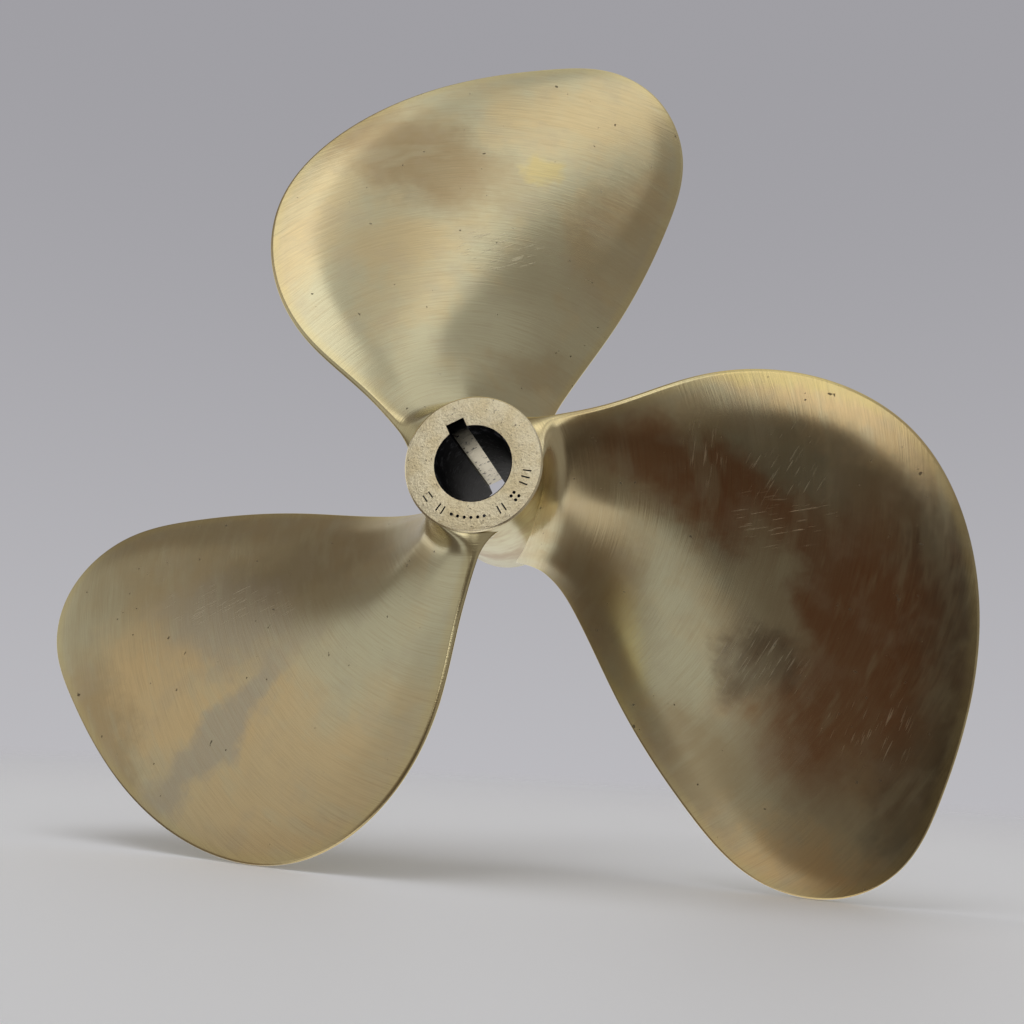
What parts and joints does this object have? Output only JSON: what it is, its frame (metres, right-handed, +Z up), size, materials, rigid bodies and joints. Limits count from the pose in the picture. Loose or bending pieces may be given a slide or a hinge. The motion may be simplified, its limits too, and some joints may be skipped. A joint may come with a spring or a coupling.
{
  "type": "boat propeller",
  "caption": "Right-hand cast bronze boat propeller: broad skewed helical blades on a short hub with a tapered, keyed shaft bore.",
  "frame": {"origin": "on the shaft axis, half way along the hub", "axes": "+Y along the shaft axis, pointing aft (the small end of the taper); +Z up as the propeller stands on the tips of its two lower blades; +X to the right seen from ahead"},
  "size_m": [0.3375, 0.0698, 0.3142],
  "materials": {
    "machined_bronze": "nickel-aluminium bronze, turned and grit-blasted end faces, fine matt grain",
    "brushed_bronze": "nickel-aluminium bronze, ground and belt-brushed round the blade, satin"
  },
  "bodies": {
    "root": {"hub": "machined_bronze", "blade_1": "brushed_bronze", "blade_2": "brushed_bronze", "blade_3": "brushed_bronze"}
  },
  "joints": []
}
